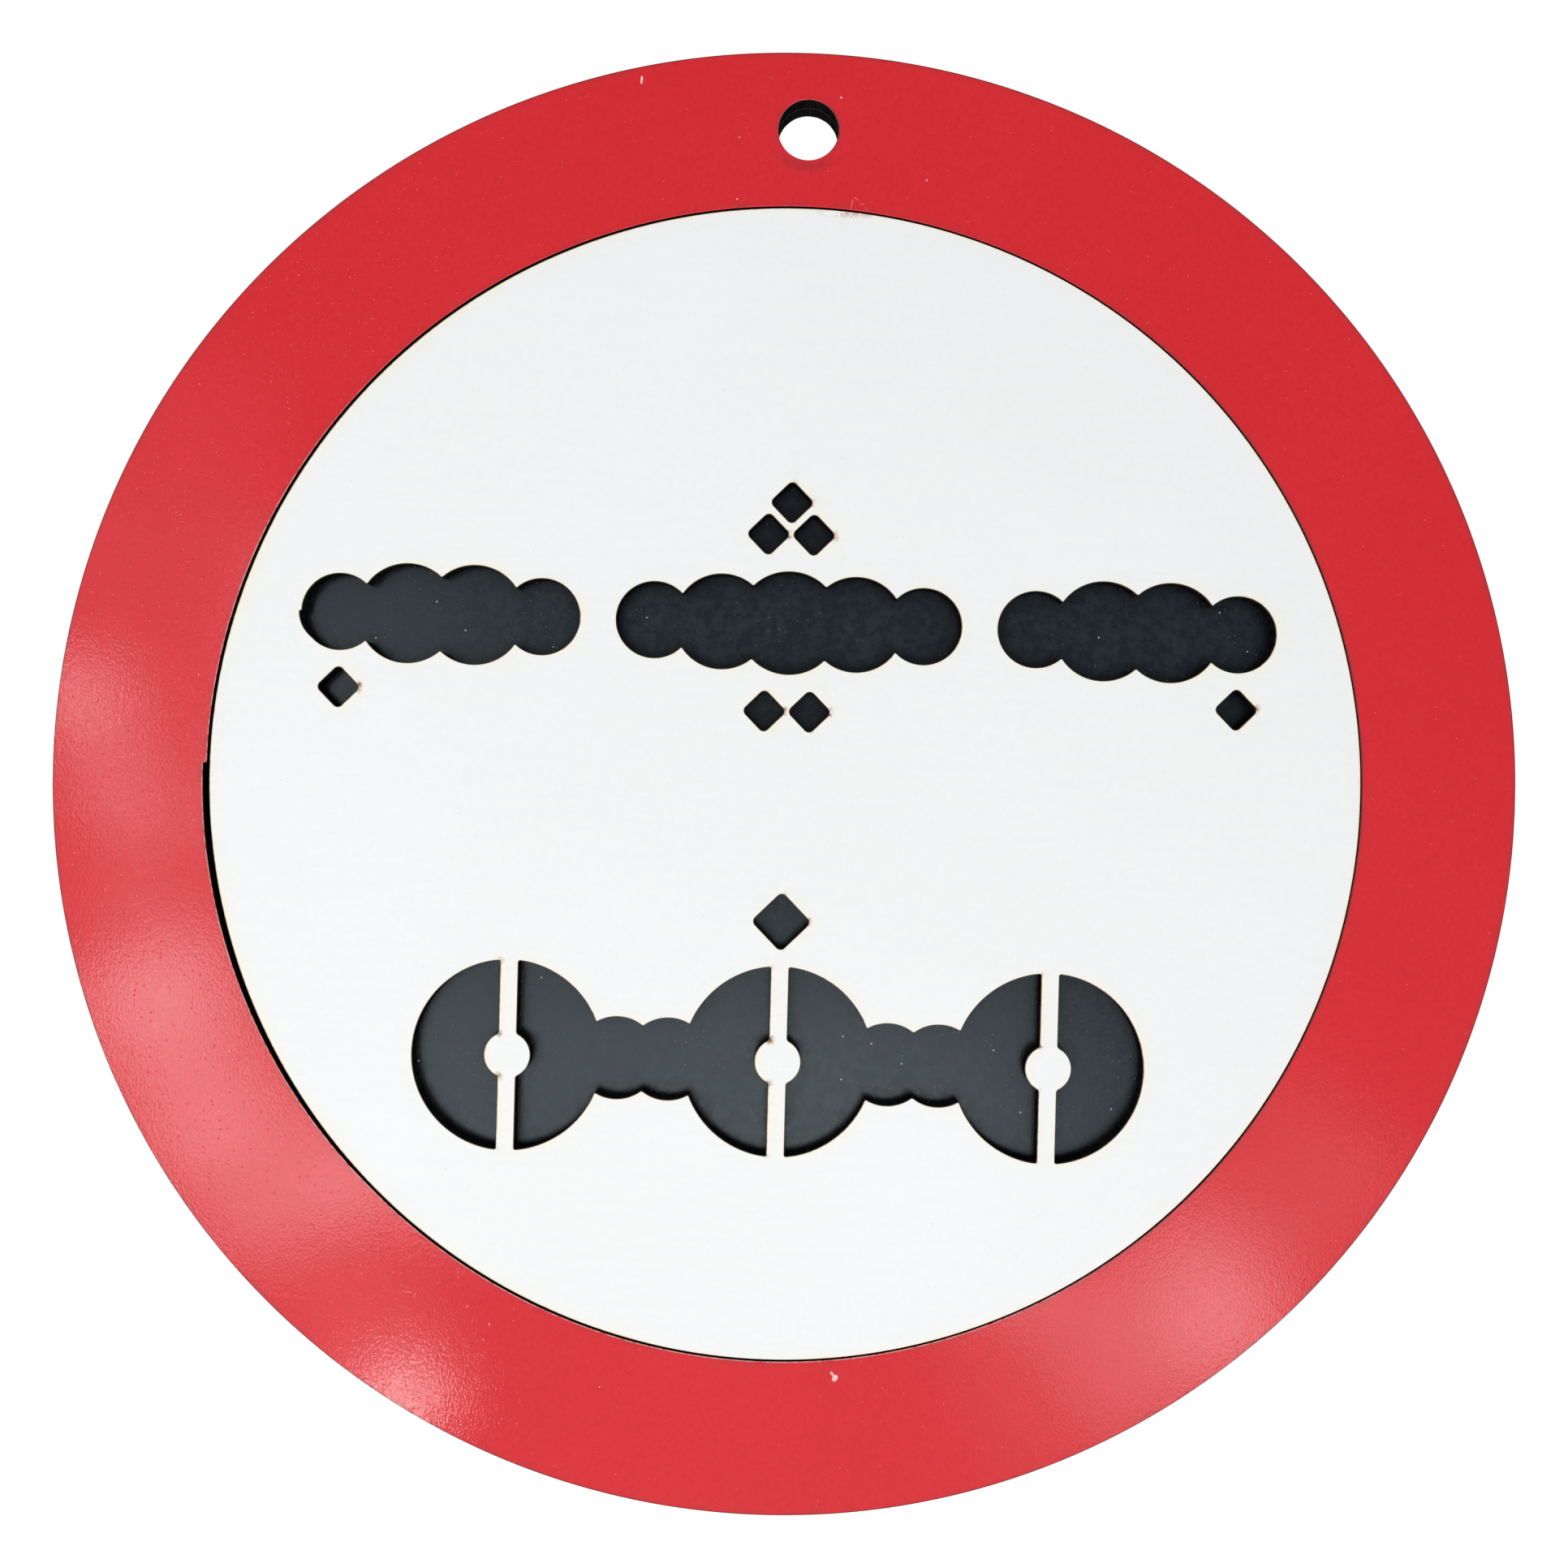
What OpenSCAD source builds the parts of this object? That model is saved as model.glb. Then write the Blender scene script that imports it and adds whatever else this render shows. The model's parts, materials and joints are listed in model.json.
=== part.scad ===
// Round prohibition sign that hangs from one hole: a dark backing board with a red ring and
// a stencil-cut white panel glued side by side on its face. Every board is laser-cut.
// Millimetres. The front faces -Y and +Z is up. The origin is where the axis of the hang
// hole meets the back face, so the sign's centre lies straight below it.

/* [Boards] */
// Outer diameter of the backing board and of the ring
disc_d = 200; // [190:1:240]
// Thickness of the backing board
backing_t = 3; // [2:0.1:6]
// Thickness of the ring and of the panel in front of it
facing_t = 3; // [2:0.1:6]

/* [Ring] */
// Width of the ring from its opening to its outer edge
ring_w = 21; // [16:0.5:24]
// Diameter of the hang hole, which lies halfway across the ring
hole_d = 8.3; // [4:0.1:12]
// Size of the step at the left of the opening, where the cut did not close on its start
slip_step = 0.52; // [0.1:0.02:1.2]
// Angle below the step over which the cut runs back to its true line
slip_sweep = 47; // [30:1:85]

/* [Panel] */
// Gap all round between the panel and the true line of the opening
kerf_gap = 0.3; // [0.2:0.02:1]
// Distance to the right at which the panel is glued off centre
panel_shift = 0.1; // [0:0.005:0.19]
// Angle at which the panel is glued out of true with the hang hole
panel_twist = 0.65; // [-3:0.05:3]

/* [Upper row of cut-outs] */
// Height of the upper row above the panel's centre
upper_rise = 22; // [18:0.5:26]
// Distance between neighbouring beads of a bar
bead_pitch = 9.2; // [8.4:0.1:9.6]
// Radius of the bead in the middle of a bar
bead_mid_r = 7; // [6.2:0.1:7.4]
// Radius of the bead at each end of a bar
bead_end_r = 5.2; // [4.8:0.1:6]
// Number of beads in the bar in the middle
centre_bead_count = 5; // [3:1:5]
// Number of beads in each of the bars beside it
side_bead_count = 4; // [2:1:4]
// Height of the slot that runs through the beads of a bar
slot_h = 6.4; // [3:0.1:9]
// Width of the web between one bar and the next
bar_gap = 5; // [3:0.5:6]
// Size of the step on the end bead at the far left
bead_slip = 0.33; // [0.1:0.01:0.6]

/* [Lower row of cut-outs] */
// Depth of the lower row below the panel's centre
lower_drop = 38; // [36:0.5:40]
// Radius of each stencil disc
stencil_r = 13; // [10:0.5:14]
// Distance between the centres of neighbouring stencil discs
stencil_pitch = 37; // [34:0.5:39]
// Width of the bridges that hold the island in each disc
bridge_w = 2.5; // [1.5:0.1:4]
// Radius of the island in each disc
island_r = 3.2; // [2.5:0.1:6]
// Radius of the beads that link two stencil discs
link_r = 5.6; // [5:0.1:7]
// Distance between the two beads of a link
link_pitch = 7; // [5:0.1:8]

/* [Diamonds] */
// Small diamonds from tip to tip
small_diamond = 5.4; // [4:0.1:6]
// Large diamond from tip to tip
large_diamond = 7.5; // [5:0.1:8]
// Length by which a sharp corner would run past a diamond's blunt tip
tip_cut = 0.3; // [0.1:0.05:0.5]
// Width of the web between one diamond's tip and the next
tip_gap = 0.8; // [0.6:0.1:1.2]
// Width of the web between a diamond and the bar or disc beside it
diamond_gap = 2.4; // [1.5:0.1:3]

/* [Hidden] */
$fn = 180;

disc_r = disc_d / 2;
opening_r = disc_r - ring_w;
hole_rise = disc_r - ring_w / 2;
panel_r = opening_r - kerf_gap;

centre_half = bar_half(centre_bead_count);
side_x = centre_half + bar_gap + bar_half(side_bead_count);
side_end_x = side_x + bar_half(side_bead_count) - bead_end_r;
pair_x = (small_diamond + tip_gap) / 2;
pair_rise = bead_mid_r + diamond_gap + small_diamond / 2;
peak_rise = pair_rise + (small_diamond + tip_gap) / sqrt(2);
foot_drop = bead_end_r + diamond_gap + small_diamond / 2;
lower_diamond_rise = stencil_r + diamond_gap + large_diamond / 2;

// Half the length of a bar with n beads
function bar_half(n) = bead_pitch * (n - 1) / 2 + bead_end_r;

// Radius of bead i of n, which grows from both ends towards the middle
function bead_r(i, n) = bead_end_r + (bead_mid_r - bead_end_r) * sin(180 * i / (n - 1));

// How far off centre the second circle of a slipped cut lies
function slip_offset(step) = step / (1 - cos(slip_sweep));

// Stands a flat outline up as a board, with its back face at back_y and the centre of the
// outline straight below the hang hole
module board(back_y, thickness) {
    translate([0, back_y, -hole_rise])
        rotate([90, 0, 0])
            linear_extrude(thickness)
                children();
}

// A circle whose cut ends a step outside its start at the left, and runs back to it below
module slipped_circle(r, step) {
    circle(r);
    intersection() {
        translate([-slip_offset(step), 0])
            circle(r + step - slip_offset(step));
        translate([-2 * r, -2 * r])
            square([4 * r, 2 * r]);
    }
}

module hang_hole() {
    translate([0, hole_rise])
        circle(d = hole_d);
}

// A square that stands on one tip, with its four corners blunted to a circle
module diamond(tip_to_tip) {
    intersection() {
        rotate(45)
            square((tip_to_tip + 2 * tip_cut) / sqrt(2), center = true);
        circle(d = tip_to_tip);
    }
}

// A row of n overlapping beads with a slot through them all
module beaded_bar(n) {
    for (i = [0 : n - 1])
        translate([bead_pitch * (i - (n - 1) / 2), 0])
            circle(bead_r(i, n));
    square([bead_pitch * (n - 1), slot_h], center = true);
}

module upper_row() {
    translate([0, upper_rise]) {
        beaded_bar(centre_bead_count);
        for (side = [-1, 1]) {
            translate([side * side_x, 0])
                beaded_bar(side_bead_count);
            translate([side * side_end_x, -foot_drop])
                diamond(small_diamond);
            translate([side * pair_x, pair_rise])
                diamond(small_diamond);
            translate([side * pair_x, -pair_rise])
                diamond(small_diamond);
        }
        translate([0, peak_rise])
            diamond(small_diamond);
        translate([-side_end_x, 0])
            slipped_circle(bead_end_r, bead_slip);
    }
}

// The piece that a bridge above and below holds in the middle of a stencil disc
module bridged_island() {
    circle(island_r);
    square([bridge_w, 2 * stencil_r], center = true);
}

module lower_row() {
    translate([0, -lower_drop]) {
        difference() {
            union() {
                for (k = [-1 : 1])
                    translate([k * stencil_pitch, 0])
                        circle(stencil_r);
                for (side = [-1, 1], bead = [-1, 1])
                    translate([(side * stencil_pitch + bead * link_pitch) / 2, 0])
                        circle(link_r);
            }
            for (k = [-1 : 1])
                translate([k * stencil_pitch, 0])
                    bridged_island();
        }
        translate([0, lower_diamond_rise])
            diamond(large_diamond);
    }
}

module backing_board() {
    color("#3a3f45")
        board(0, backing_t)
            difference() {
                circle(disc_r);
                hang_hole();
            }
}

module border_ring() {
    color("#d0363a")
        board(-backing_t, facing_t)
            difference() {
                circle(disc_r);
                slipped_circle(opening_r, slip_step);
                hang_hole();
            }
}

module face_panel() {
    color("#f1f3f3")
        board(-backing_t, facing_t)
            translate([panel_shift, 0])
                rotate(panel_twist)
                    difference() {
                        circle(panel_r);
                        upper_row();
                        lower_row();
                    }
}

backing_board();
border_ring();
face_panel();
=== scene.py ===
import json
import math

import bpy
import numpy as np
from mathutils import Matrix, Vector
from mathutils.geometry import delaunay_2d_cdt
from mathutils.kdtree import KDTree


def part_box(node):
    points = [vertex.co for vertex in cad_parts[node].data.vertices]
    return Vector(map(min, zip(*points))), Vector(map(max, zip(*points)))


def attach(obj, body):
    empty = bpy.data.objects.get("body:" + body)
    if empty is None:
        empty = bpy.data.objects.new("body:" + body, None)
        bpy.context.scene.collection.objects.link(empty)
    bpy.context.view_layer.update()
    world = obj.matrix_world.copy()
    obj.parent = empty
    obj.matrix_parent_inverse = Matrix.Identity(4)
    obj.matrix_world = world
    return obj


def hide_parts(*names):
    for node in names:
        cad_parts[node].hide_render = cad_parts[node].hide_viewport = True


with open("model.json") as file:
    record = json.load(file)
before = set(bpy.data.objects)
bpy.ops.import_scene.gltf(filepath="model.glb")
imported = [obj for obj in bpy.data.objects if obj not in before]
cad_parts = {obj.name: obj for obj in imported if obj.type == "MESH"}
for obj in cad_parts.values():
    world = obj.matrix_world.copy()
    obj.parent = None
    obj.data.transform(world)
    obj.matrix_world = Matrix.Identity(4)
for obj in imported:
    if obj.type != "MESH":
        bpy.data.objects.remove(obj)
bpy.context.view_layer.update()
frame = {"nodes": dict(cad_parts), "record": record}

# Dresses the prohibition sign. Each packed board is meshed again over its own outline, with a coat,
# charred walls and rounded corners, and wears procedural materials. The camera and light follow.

MM = 0.001

# Heights and depths of the boards, in millimetres, from the frame. The front faces -Y, and the sign's
# centre lies straight below the hang hole.
RING_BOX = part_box("border_ring")
FRONT_Y = RING_BOX[0].y / MM
JOIN_Y = RING_BOX[1].y / MM
BACK_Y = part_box("backing_board")[1].y / MM
BACK_FACE = next(mount for mount in frame["record"]["mounts"] if mount["name"] == "back_face")
HOLE_RISE = -BACK_FACE["pos_m"][2] / MM
CENTRE = Vector((0, 0, -HOLE_RISE))

# How finely a board's cuts are followed, in millimetres, and how near two points count as the same
TRACE_STEP = 0.06
OUTLINE_STEP = 0.3
SAME_PLACE = 1e-3

# A corner is where a wall turns by more than 8 degrees. It is rounded over a length of the cut at either
# side, at most this share of the way to the next corner, in a number of pieces.
CORNER_COS = math.cos(math.radians(8))
CORNER_REACH = 0.32
CORNER_SHARE = 0.49
CORNER_PIECES = 7

# How finely a face is filled, in millimetres: the even net, and the nets over the marks
GRID_STEP = 2.2
NET_STEP = 0.1

# The rows of points beside the cuts and round the windows: how far off each row is, and one point for
# how many of the cut's
EDGE_BANDS = ((0.22, 1), (0.5, 2), (0.95, 3), (1.6, 5), (2.5, 7))
WINDOW_BANDS = ((0.4, 2), (0.9, 3), (1.6, 5), (2.6, 7))

# A row's point is left out where a cut is nearer than this share of the row's distance, and the even net
# keeps off the cuts by this multiple of the last row's
ROW_CLEARANCE = 0.88
GRID_CLEARANCE = 1.25

# The coat on a board's face, its rounded edge and where the middle of that lies, and the edge of a board
# without one
COAT_T = 0.13
EDGE_R = 0.07
EDGE_MIDDLE = 0.3
SEAM_R = 0.02

# How deep the laser's stripes are in a wall, with the shares of the soft and the ragged ones. Then how
# far in and how rough the wall is just under the coat and from there to the back.
STRIA = 0.045
SOFT_SHARE, RAGGED_SHARE = 0.7, 0.3
LIP_DROP, LIP_INSET, LIP_ROUGH = 0.04, 0.03, 0.3
WALL_INSET, WALL_ROUGH, WALL_ROUGHER = 0.02, 0.35, 0.65
WALL_STEPS = (0.25, 0.5, 0.75, 1.0)

# The most that an outline is drawn in, as a share of the radius at which it bends, and the least bend
INSET_SHARE = 0.6
LEAST_TURN = 1e-6

# How steep the sides of a dent are, and how sharply the coat ends at its rim
DENT_POWER = 1.5
BARE_GAIN = 2.2

# The scorched corners: how strong and how wide they are at least and at most, how strong one is at the
# left and how much more at the right, how far it shifts, and how fast it grows with a sharper turn
SCORCH_STRENGTH = (0.45, 1.0)
SCORCH_RADIUS = (0.35, 0.75)
SCORCH_LEFT, SCORCH_RIGHT = 0.15, 0.85
SCORCH_SHIFT = 0.15
SCORCH_GAIN = 1.4

# Each board's material slots, and how many rows of faces below its front edge wear the coat
COAT, WALL, BACK = range(3)
COAT_ROWS = 3

# What Blender's triangulation is asked for: only triangles inside the edges, with points kept apart
INSIDE_EDGES = 1
SAME_POINT = 1e-7


# Outlines, read from the walls of a packed board

class Outline:
    """One closed cut, in millimetres in the XZ plane, with the board on its left seen from the front."""

    def __init__(self, points, corners):
        self.points = np.array(points)
        self.corners = corners
        ahead = np.roll(self.points, -1, axis=0) - self.points
        length = np.linalg.norm(ahead, axis=1)
        ahead /= length[:, None]
        behind = np.roll(ahead, 1, axis=0)
        along = ahead + behind
        along /= np.linalg.norm(along, axis=1)[:, None]
        self.normal = np.column_stack((along[:, 1], -along[:, 0]))
        turn = behind[:, 0] * ahead[:, 1] - behind[:, 1] * ahead[:, 0]
        radius = (length + np.roll(length, 1)) / 2 / np.maximum(turn, LEAST_TURN)
        self.most_inset = INSET_SHARE * radius
        x, z = self.points.T
        self.is_hole = (x * np.roll(z, -1) - np.roll(x, -1) * z).sum() < 0


def wall_edges(node):
    """The front edges of a node's walls, as start, end, normal at the start and normal at the end."""
    mesh = frame["nodes"][node].data
    front = min(v.co.y for v in mesh.vertices) + SAME_PLACE * MM
    edges = []
    for face in mesh.polygons:
        if abs(face.normal.y) > 0.5:
            continue
        rim = []
        for i in face.loop_indices:
            spot = mesh.vertices[mesh.loops[i].vertex_index].co
            normal = mesh.corner_normals[i].vector
            if spot.y < front:
                rim.append((np.array((spot.x, spot.z)) / MM, np.array((normal.x, normal.z))))
        if len(rim) != 2:
            continue
        (p, n), (q, m) = rim
        if np.dot(q - p, (-(n + m)[1], (n + m)[0])) < 0:
            p, n, q, m = q, m, p, n
        edges.append((p, q, n / np.linalg.norm(n), m / np.linalg.norm(m)))
    return edges


def chained(edges):
    """The edges sorted into closed runs, each edge starting where the one before it ends."""
    starts = KDTree(len(edges))
    for i, edge in enumerate(edges):
        starts.insert((*edge[0], 0), i)
    starts.balance()
    left = set(range(len(edges)))
    runs = []
    while left:
        i = left.pop()
        run = [i]
        while True:
            end = edges[run[-1]][1]
            nearby = [k for _, k, _ in starts.find_n((*end, 0), 3) if k in left]
            if np.linalg.norm(edges[i][0] - end) < SAME_PLACE or not nearby:
                break
            run.append(nearby[0])
            left.discard(nearby[0])
        runs.append([edges[k] for k in run])
    return runs


def traced(run):
    """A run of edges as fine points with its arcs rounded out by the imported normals, the distance along
    it at each point, and its corners: place, direction out of the board, and sine of the turn."""
    points, corners = [], []
    last_normal = run[-1][3]
    for p, q, n, m in run:
        length = np.linalg.norm(q - p)
        if np.dot(last_normal, n) < CORNER_COS:
            outward = (last_normal + n) / np.linalg.norm(last_normal + n)
            corners.append((p, outward, last_normal[0] * n[1] - last_normal[1] * n[0]))
        tangent_p = np.array((-n[1], n[0])) * length
        tangent_q = np.array((-m[1], m[0])) * length
        pieces = max(1, math.ceil(length / TRACE_STEP))
        for t in np.arange(pieces) / pieces:
            points.append(
                (2 * t**3 - 3 * t**2 + 1) * p
                + (t**3 - 2 * t**2 + t) * tangent_p
                + (3 * t**2 - 2 * t**3) * q
                + (t**3 - t**2) * tangent_q
            )
        last_normal = m
    points = np.array(points)
    steps = np.linalg.norm(np.roll(points, -1, axis=0) - points, axis=1)
    return points, np.concatenate(([0], np.cumsum(steps))), corners


def rounded(fine, distance, found):
    """The outline of a traced run, with each corner rounded as the laser's beam rounds it."""
    whole = distance[-1]
    closed = np.vstack((fine, fine[:1]))

    def at(d):
        """The place at a distance along the run."""
        d = np.mod(d, whole)
        return np.array([np.interp(d, distance, closed[:, k]) for k in range(2)]).T

    if not found:
        count = round(whole / OUTLINE_STEP)
        return Outline(at(np.arange(count) / count * whole), [])
    corners = sorted(
        ((distance[np.argmin(np.linalg.norm(fine - corner[0], axis=1))], corner) for corner in found),
        key=lambda pair: pair[0],
    )
    marks = np.array([mark for mark, _ in corners])
    gaps = np.mod(np.roll(marks, -1) - marks, whole)
    gaps[gaps == 0] = whole
    reach = np.minimum(CORNER_REACH, CORNER_SHARE * np.minimum(gaps, np.roll(gaps, 1)))
    points = []
    for i, mark in enumerate(marks):
        a, c, b = at(mark - reach[i]), at(mark), at(mark + reach[i])
        for t in np.arange(CORNER_PIECES) / CORNER_PIECES:
            points.append((1 - t) ** 2 * a + 2 * t * (1 - t) * c + t**2 * b)
        stretch = gaps[i] - reach[i] - reach[(i + 1) % len(marks)]
        pieces = max(1, round(stretch / OUTLINE_STEP))
        points += list(at(mark + reach[i] + np.arange(pieces) / pieces * stretch))
    return Outline(points, [corner for _, corner in corners])


def outlines(node):
    """Every cut through a node."""
    return [rounded(*traced(run)) for run in chained(wall_edges(node))]


# Marks on the ring's face: the nick, the chip, raised specks and scratches

class Mark:
    """A place on a face right of and above the sign's centre, with its long and short half-lengths, its
    angle in degrees, its depth, which is below 0 where it stands proud, and how much of the coat is gone
    there, from 0 to 1."""

    def __init__(self, x, z, long, short, angle, depth, bare):
        self.centre = np.array((x, z - HOLE_RISE))
        self.half = np.array((long, short))
        turn = math.radians(angle)
        self.axes = np.array(((math.cos(turn), math.sin(turn)), (-math.sin(turn), math.cos(turn))))
        self.depth = depth
        self.bare = bare

    def reach(self, points):
        """1 at the mark's centre, 0 at its edge and beyond."""
        local = (points - self.centre) @ self.axes.T / self.half
        return np.clip(1 - (local**2).sum(1), 0, 1)

    def extra_points(self):
        """A small net of points over the mark, so that its dent has a shape of its own, with two flat
        rows round it."""
        rows = []
        for half in self.half:
            steps = max(3, math.ceil(half / NET_STEP))
            flat = np.array((1.0, 1.0 + NET_STEP / half, 1.0 + 2.5 * NET_STEP / half))
            rows.append(np.concatenate((-flat[::-1], np.linspace(-1, 1, 2 * steps + 1)[1:-1], flat)))
        net = np.array([(u, v) for u in rows[0] for v in rows[1]])
        return (net * self.half) @ self.axes + self.centre


# In turn: the nick, the two parts of the chip, three raised specks, four scratches under the hang hole,
# two at the lower left, and four more raised specks
RING_MARKS = [
    Mark(-23.05, 95.45, 0.62, 0.16, 88, 0.12, 1.0),
    Mark(10.0, -80.9, 0.50, 0.36, 60, 0.16, 1.0),
    Mark(9.6, -80.35, 0.42, 0.19, 130, 0.08, 0.8),
    Mark(4.3, 94.05, 0.16, 0.14, 0, -0.03, 0.9),
    Mark(-9.4, 88.1, 0.13, 0.11, 0, -0.03, 0.5),
    Mark(-9.4, 79.7, 0.13, 0.12, 30, -0.03, 0.6),
    Mark(6.3, 79.6, 0.85, 0.10, 80, 0, 0.14),
    Mark(6.9, 80.3, 0.40, 0.10, -40, 0, 0.14),
    Mark(7.7, 79.6, 0.40, 0.11, -8, 0, 0.12),
    Mark(8.3, 78.9, 0.40, 0.10, -55, 0, 0.12),
    Mark(-48.8, -71.3, 0.95, 0.07, -4, 0, 0.20),
    Mark(-47.85, -71.75, 0.42, 0.08, 82, 0, 0.24),
    Mark(-40.6, -73.0, 0.14, 0.12, 0, -0.02, 0.25),
    Mark(-37.5, -75.3, 0.20, 0.11, 70, -0.02, 0.25),
    Mark(-22.1, -83.3, 0.17, 0.12, 60, -0.02, 0.25),
    Mark(16.4, 83.2, 0.16, 0.12, 80, -0.03, 0.6),
]


# The points of a board's face

def nearest(cuts):
    """A search tree over the points of the cuts, with their places and normals."""
    points = np.concatenate([c.points for c in cuts])
    tree = KDTree(len(points))
    for i, p in enumerate(points):
        tree.insert((*p, 0), i)
    tree.balance()
    return tree, points, np.concatenate([c.normal for c in cuts])


def beside(cuts, tree, side, bands):
    """Rows of points beside the cuts: on the board for side -1, and in its openings for side 1."""
    found = []
    for gap, every in bands:
        for c in cuts:
            for p in (c.points + side * c.normal * gap)[::every]:
                if tree.find((*p, 0))[2] > ROW_CLEARANCE * gap:
                    found.append(p)
    return found


def inner_points(cuts, marks, windows):
    """Points that fill a face between its cuts: rows beside each cut and round each window that the
    board in front leaves open over it, then an even net, then the marks."""
    tree, on_cut, normals = nearest(cuts)
    points = beside(cuts, tree, -1, EDGE_BANDS)
    if windows:
        window_tree, _, _ = nearest(windows)
        points += beside(windows, window_tree, 1, WINDOW_BANDS)
        points += list(np.concatenate([c.points[::3] for c in windows]))

    def on_board(p, least):
        """Whether p lies on the board's side of the cuts, at least that far from them."""
        _, i, gap = tree.find((*p, 0))
        return gap >= least and np.dot(p - on_cut[i], normals[i]) <= 0

    low, high = on_cut.min(0), on_cut.max(0)
    columns = np.arange(low[0], high[0], GRID_STEP)
    rows = np.arange(low[1], high[1], GRID_STEP * math.sqrt(3) / 2)
    for k, z in enumerate(rows):
        for x in columns + (k % 2) * GRID_STEP / 2:
            p = np.array((x, z))
            if not on_board(p, EDGE_BANDS[-1][0] * GRID_CLEARANCE):
                continue
            if windows and window_tree.find((*p, 0))[2] < WINDOW_BANDS[-1][0] * GRID_CLEARANCE:
                continue
            points.append(p)
    for mark in marks:
        points += [p for p in mark.extra_points() if on_board(p, NET_STEP)]
    return np.array(points)


def marked(extra, front, marks):
    """The points of a face moved to the depth of its marks, and how much of the coat is gone at each."""
    depth = np.full(len(extra), front)
    bare = np.zeros(len(extra))
    for mark in marks:
        reach = mark.reach(extra)
        depth += mark.depth * reach**DENT_POWER
        bare = np.maximum(bare, mark.bare * np.minimum(1, reach * BARE_GAIN))
    return np.column_stack((extra[:, 0], depth, extra[:, 1])), bare


# The walls of a board

def noise_along(count, rng, passes):
    """Seeded values from 0 to 1 for points along a closed line, softened a little."""
    values = rng.random(count)
    for _ in range(passes):
        values = (np.roll(values, 1) + 2 * values + np.roll(values, -1)) / 4
    values -= values.min()
    return values / max(values.max(), 1e-9)


def wall_rows(front, back, edge_r):
    """The rows of points from a board's face to its back: depth, how far in, and how rough."""
    wall = back - front - COAT_T - SEAM_R
    middle = EDGE_MIDDLE * edge_r
    rows = [(front, edge_r, 0), (front + middle, middle, 0), (front + edge_r, 0, 0), (front + COAT_T, 0, 0)]
    rows.append((front + COAT_T + LIP_DROP, LIP_INSET, LIP_ROUGH))
    for t in WALL_STEPS:
        rows.append((front + COAT_T + wall * t, WALL_INSET, WALL_ROUGH + WALL_ROUGHER * t))
    rows.append((back, SEAM_R, 1))
    return rows


def wall_points(cuts, rows, rng):
    """The points of each row, drawn in from the cuts by the row and by the laser's stripes."""
    line = np.concatenate([c.points for c in cuts])
    normals = np.concatenate([c.normal for c in cuts])
    most_inset = np.concatenate([c.most_inset for c in cuts])
    stripes = np.concatenate([noise_along(len(c.points), rng, 1) for c in cuts])
    ragged = np.concatenate([noise_along(len(c.points), rng, 0) for c in cuts])
    points = []
    for y, inset, rough in rows:
        cut_in = rough * STRIA * (SOFT_SHARE * stripes + RAGGED_SHARE * ragged)
        flat = line - normals * np.minimum(inset + cut_in, most_inset)[:, None]
        points.append(np.column_stack((flat[:, 0], np.full(len(line), y), flat[:, 1])))
    return points


# The faces of a board, and the board itself

def rim_edges(cuts):
    """The edges round the cuts, as pairs of places in a row of points."""
    edges, start = [], 0
    for c in cuts:
        count = len(c.points)
        edges += [(start + i, start + (i + 1) % count) for i in range(count)]
        start += count
    return edges


def filled(rim, edges, extra):
    """Triangles over the rim's points and the extra ones that lie on the board's side of the edges."""
    every = [Vector(p) for p in rim] + [Vector(p) for p in extra]
    spots, _, faces, origins, _, _ = delaunay_2d_cdt(every, edges, [], INSIDE_EDGES, SAME_POINT)
    source = [min(o) for o in origins]
    triangles, owner = [], {}
    for face in faces:
        a, b, c = (spots[i] for i in face)
        corners = [source[i] for i in (face if (b - a).cross(c - a) > 0 else reversed(face))]
        for k in range(3):
            owner[corners[k], corners[(k + 1) % 3]] = len(triangles)
        triangles.append(corners)
    fence = set(edges)
    kept = {owner[edge] for edge in edges}
    to_visit = list(kept)
    while to_visit:
        corners = triangles[to_visit.pop()]
        for k in range(3):
            a, b = corners[k], corners[(k + 1) % 3]
            neighbour = owner.get((b, a))
            if (a, b) not in fence and neighbour is not None and neighbour not in kept:
                kept.add(neighbour)
                to_visit.append(neighbour)
    return [triangles[i] for i in sorted(kept)]


def skin(rows, edges, extra):
    """A board's faces and their material slots, over the rows' points and then the face's extra ones."""
    total = len(rows[0])
    last = (len(rows) - 1) * total
    inner = len(rows) * total
    faces, slots = [], []
    for corners in filled(rows[0][:, ::2], edges, extra):
        faces.append([i if i < total else i - total + inner for i in corners])
        slots.append(COAT)
    for corners in filled(rows[-1][:, ::2], edges, []):
        faces.append([i + last for i in reversed(corners)])
        slots.append(BACK)
    for k in range(len(rows) - 1):
        for a, b in edges:
            faces.append([k * total + a, (k + 1) * total + a, (k + 1) * total + b, k * total + b])
            slots.append(COAT if k < COAT_ROWS else WALL)
    return faces, slots


def scorch(cuts, spots, rng):
    """How burnt each spot is, from 0 to 1: the laser dwells at sharp corners, most on their right."""
    result = np.zeros(len(spots))
    for place, outward, turn in (corner for c in cuts for corner in c.corners):
        rightwards = -outward[0]
        side = SCORCH_LEFT + SCORCH_RIGHT * max(0, rightwards)
        strength = side * min(1, SCORCH_GAIN * abs(turn)) * rng.uniform(*SCORCH_STRENGTH)
        radius = rng.uniform(*SCORCH_RADIUS)
        away = np.linalg.norm(spots - place - (SCORCH_SHIFT * rightwards, 0), axis=1)
        result = np.maximum(result, strength * np.exp(-((away / radius) ** 2)))
    return result


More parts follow.
